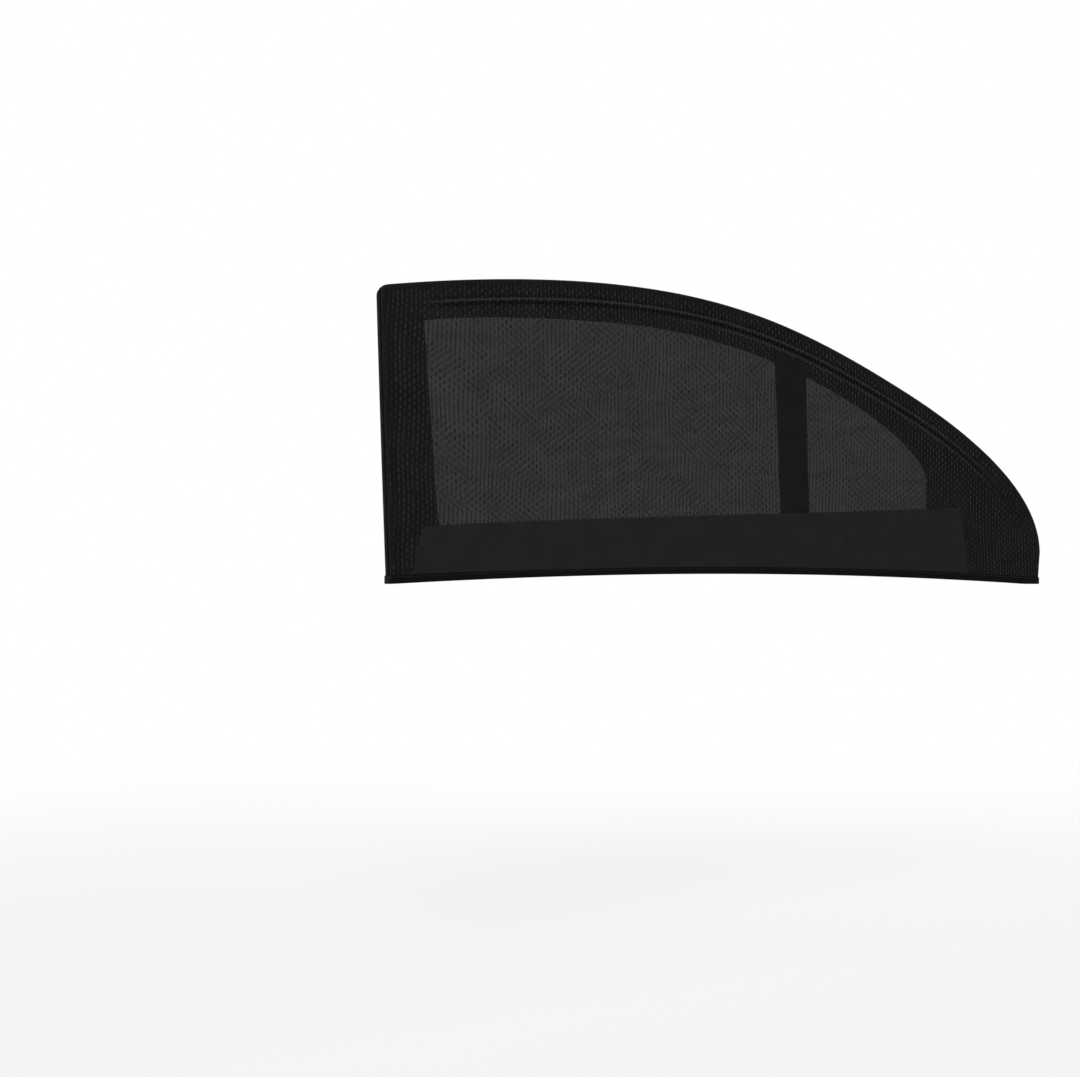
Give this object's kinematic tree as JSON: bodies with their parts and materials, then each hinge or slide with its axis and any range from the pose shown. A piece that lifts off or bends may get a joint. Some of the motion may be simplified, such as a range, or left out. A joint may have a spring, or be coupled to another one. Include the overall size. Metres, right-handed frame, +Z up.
{
  "type": "car side window sunshade",
  "caption": "Slip-on stretch net sleeve that shades a car's front side window, open along the bottom, with a darker border, divider and lower band.",
  "frame": {"origin": "middle of the sleeve's mouth, halfway between the two net panels", "axes": "+X along the shade towards the windscreen, +Y out of the car, +Z up"},
  "size_m": [1.1377, 0.0543, 0.4248],
  "materials": {
    "stretch_net": "open warp-knitted polyester net, black, slightly lustrous yarn",
    "border_fabric": "closed knitted polyester, black, matt",
    "plain_tape": "close-woven polyester, black, matt",
    "elastic_binding": "ribbed elastic binding, near black"
  },
  "bodies": {
    "root": {"inner_net_panel": "stretch_net", "outer_net_panel": "stretch_net", "inner_border_facing": "border_fabric", "outer_border_facing": "border_fabric", "inner_divider_strip": "plain_tape", "outer_divider_strip": "plain_tape", "inner_bottom_band": "plain_tape", "outer_bottom_band": "plain_tape", "edge_binding": "elastic_binding", "hem_binding": "elastic_binding"}
  },
  "joints": []
}
